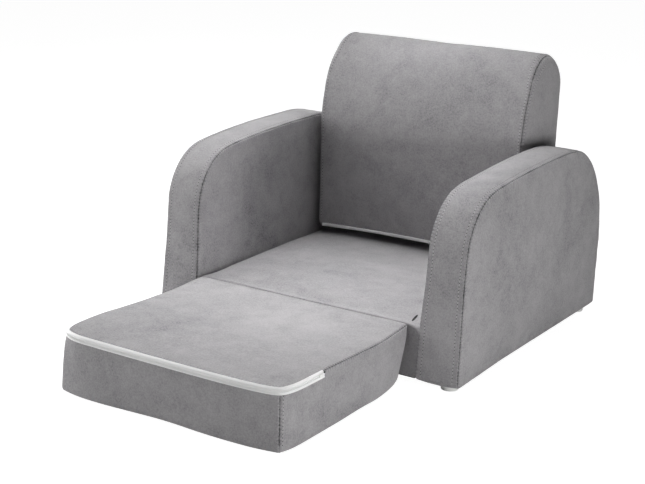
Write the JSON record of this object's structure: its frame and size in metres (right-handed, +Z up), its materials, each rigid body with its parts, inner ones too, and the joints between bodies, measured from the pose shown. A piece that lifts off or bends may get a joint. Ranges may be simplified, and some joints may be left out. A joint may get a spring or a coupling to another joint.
{
  "type": "kids flip open sofa",
  "caption": "Child's two-in-one sofa: padded arms, rolled backrest and a hinged seat pad that turns out over the floor as a lounger.",
  "frame": {"origin": "on the floor, under the middle of the outline of the sofa with its pad open", "axes": "+X to the right seen from the front, +Y from the flip pad towards the backrest, +Z up"},
  "size_m": [0.534, 0.7911, 0.4208],
  "materials": {
    "suede": "mid-grey micro-suede with a short mottled nap",
    "foam": "cut upholstery foam, open cells",
    "plywood": "unfinished poplar plywood",
    "timber": "sawn and planed pine, unfinished",
    "non_woven": "thin black non-woven sheet",
    "zip_nylon": "white woven tape and nylon coil",
    "foot_plastic": "white moulded plastic, slightly translucent",
    "zinc_steel": "zinc plated steel"
  },
  "bodies": {
    "base": {"arm_cover_left": "suede", "arm_cover_right": "suede", "arm_foam_left": "foam", "arm_foam_right": "foam", "arm_inner_panel_left": "plywood", "arm_inner_panel_right": "plywood", "arm_outer_panel_left": "plywood", "arm_outer_panel_right": "plywood", "arm_lower_rail_left": "timber", "arm_lower_rail_right": "timber", "arm_upper_rail_left": "timber", "arm_upper_rail_right": "timber", "arm_front_post_left": "timber", "arm_front_post_right": "timber", "arm_rear_post_left": "timber", "arm_rear_post_right": "timber", "foot_front_left": "foot_plastic", "foot_front_right": "foot_plastic", "foot_rear_left": "foot_plastic", "foot_rear_right": "foot_plastic", "foot_nail_front_left": "zinc_steel", "foot_nail_front_right": "zinc_steel", "foot_nail_rear_left": "zinc_steel", "foot_nail_rear_right": "zinc_steel", "bolt_front_left": "zinc_steel", "bolt_front_right": "zinc_steel", "bolt_rear_left": "zinc_steel", "bolt_rear_right": "zinc_steel", "bolt_back_left": "zinc_steel", "bolt_back_right": "zinc_steel", "tee_nut_front_left": "zinc_steel", "tee_nut_front_right": "zinc_steel", "tee_nut_rear_left": "zinc_steel", "tee_nut_rear_right": "zinc_steel", "tee_nut_back_left": "zinc_steel", "tee_nut_back_right": "zinc_steel", "seat_cover": "suede", "seat_foam": "foam", "seat_deck": "plywood", "seat_front_rail": "timber", "seat_rear_rail": "timber", "seat_side_rail_left": "timber", "seat_side_rail_right": "timber", "dust_cover": "non_woven", "back_cover": "suede", "back_foam": "foam", "back_board": "plywood", "back_post_left": "timber", "back_post_right": "timber", "back_upper_rail": "timber", "back_lower_rail": "timber", "back_zip": "zip_nylon", "hinge_strip": "suede"},
    "flip_pad": {"pad_cover": "suede", "pad_foam": "foam", "pad_zip": "zip_nylon"},
    "pad_zip_slider": {"pad_zip_slider": "zip_nylon"},
    "back_zip_slider": {"back_zip_slider": "zip_nylon"}
  },
  "joints": [
    {"name": "flip_hinge", "type": "hinge", "parent": "base", "child": "flip_pad", "pos_m": [0, -0.0784, 0.0901], "axis": [-1, 0, 0], "range_deg": [0, 180], "deforming": ["hinge_strip"]},
    {"name": "pad_zip_slide", "type": "slide", "parent": "flip_pad", "child": "pad_zip_slider", "axis": [0, -1, 0], "range_m": [0, 0.036]},
    {"name": "back_zip_slide", "type": "slide", "parent": "base", "child": "back_zip_slider", "axis": [-1, 0, 0], "range_m": [0, 0.343]}
  ]
}
